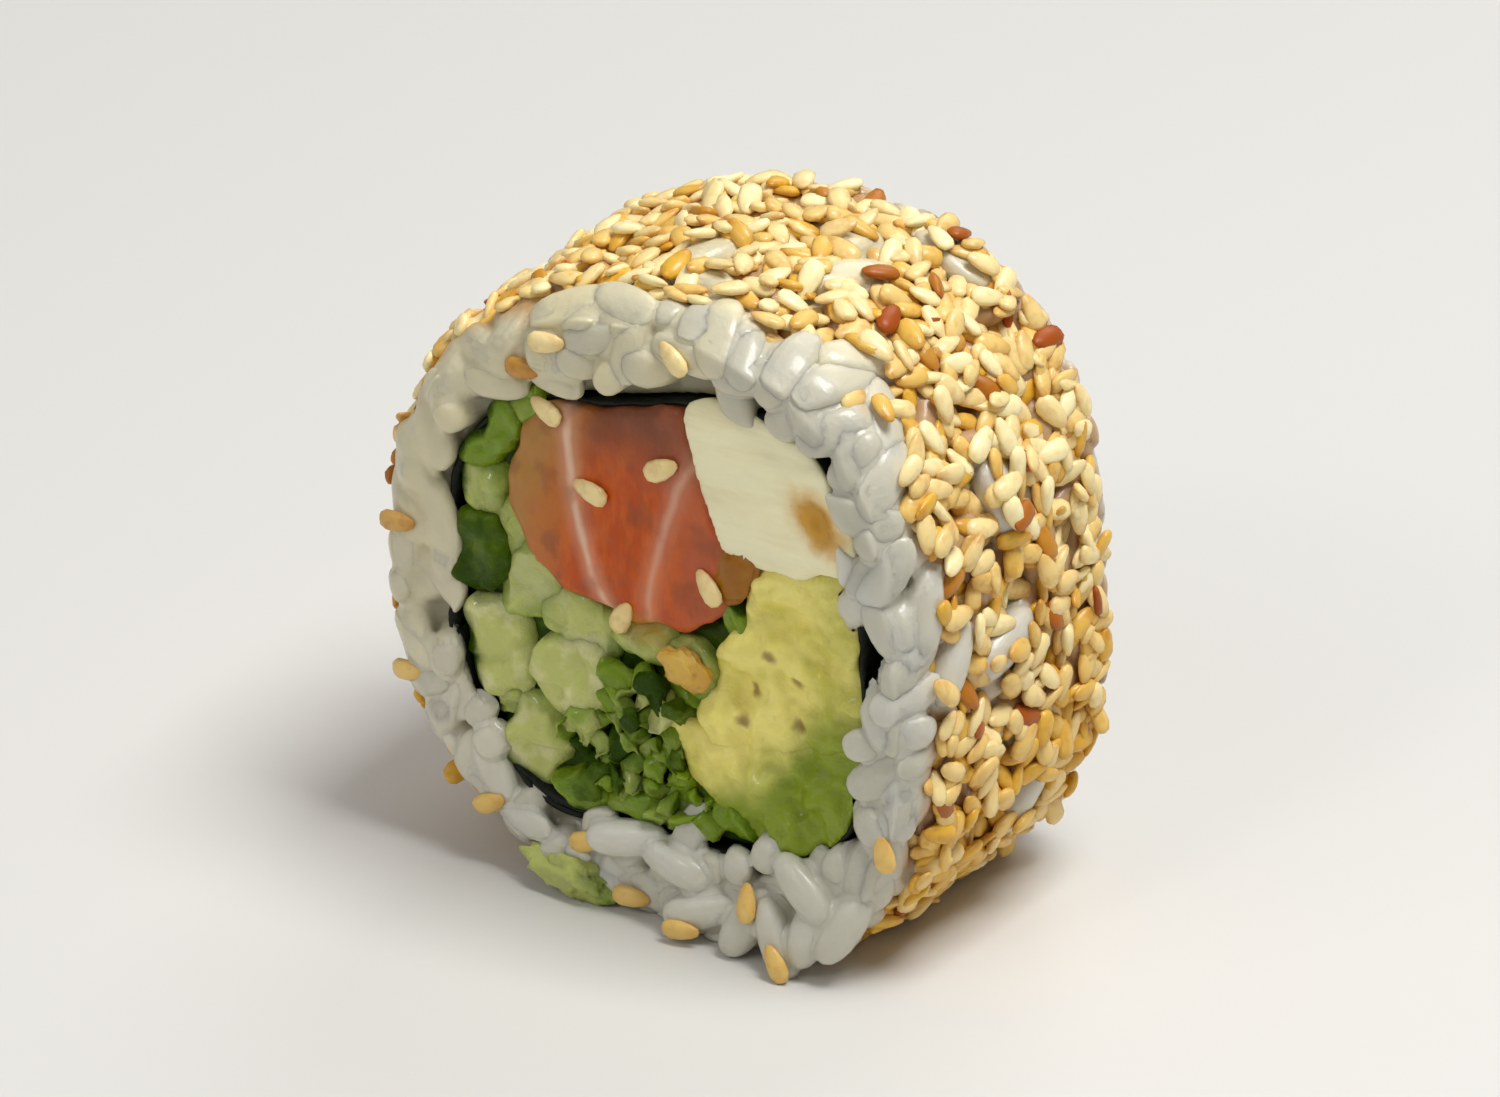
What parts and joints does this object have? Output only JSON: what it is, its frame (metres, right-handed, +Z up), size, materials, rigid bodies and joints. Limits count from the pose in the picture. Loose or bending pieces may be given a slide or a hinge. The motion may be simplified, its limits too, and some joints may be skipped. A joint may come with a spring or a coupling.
{
  "type": "inside-out sushi roll slice",
  "caption": "Slice of an inside-out sushi roll, rice outside with sesame, nori round salmon, cream cheese, avocado and cucumber, lying on its curved side.",
  "frame": {"origin": "middle of the small flat on the curved side that the slice rests on", "axes": "+Z up, -Y out of the cut face that the picture shows, +X to the right of somebody looking at that face"},
  "size_m": [0.0443, 0.0261, 0.0458],
  "materials": {
    "rice": "satin",
    "nori": "satin",
    "salmon": "satin",
    "cheese": "satin",
    "avocado": "satin",
    "cucumber": "gloss"
  },
  "bodies": {
    "root": {"rice_with_sesame": "rice", "nori_sheet": "nori", "salmon_strip": "salmon", "cream_cheese_strip": "cheese", "avocado_wedge_upper": "avocado", "avocado_wedge_lower": "avocado", "cucumber_shreds": "cucumber"}
  },
  "joints": []
}
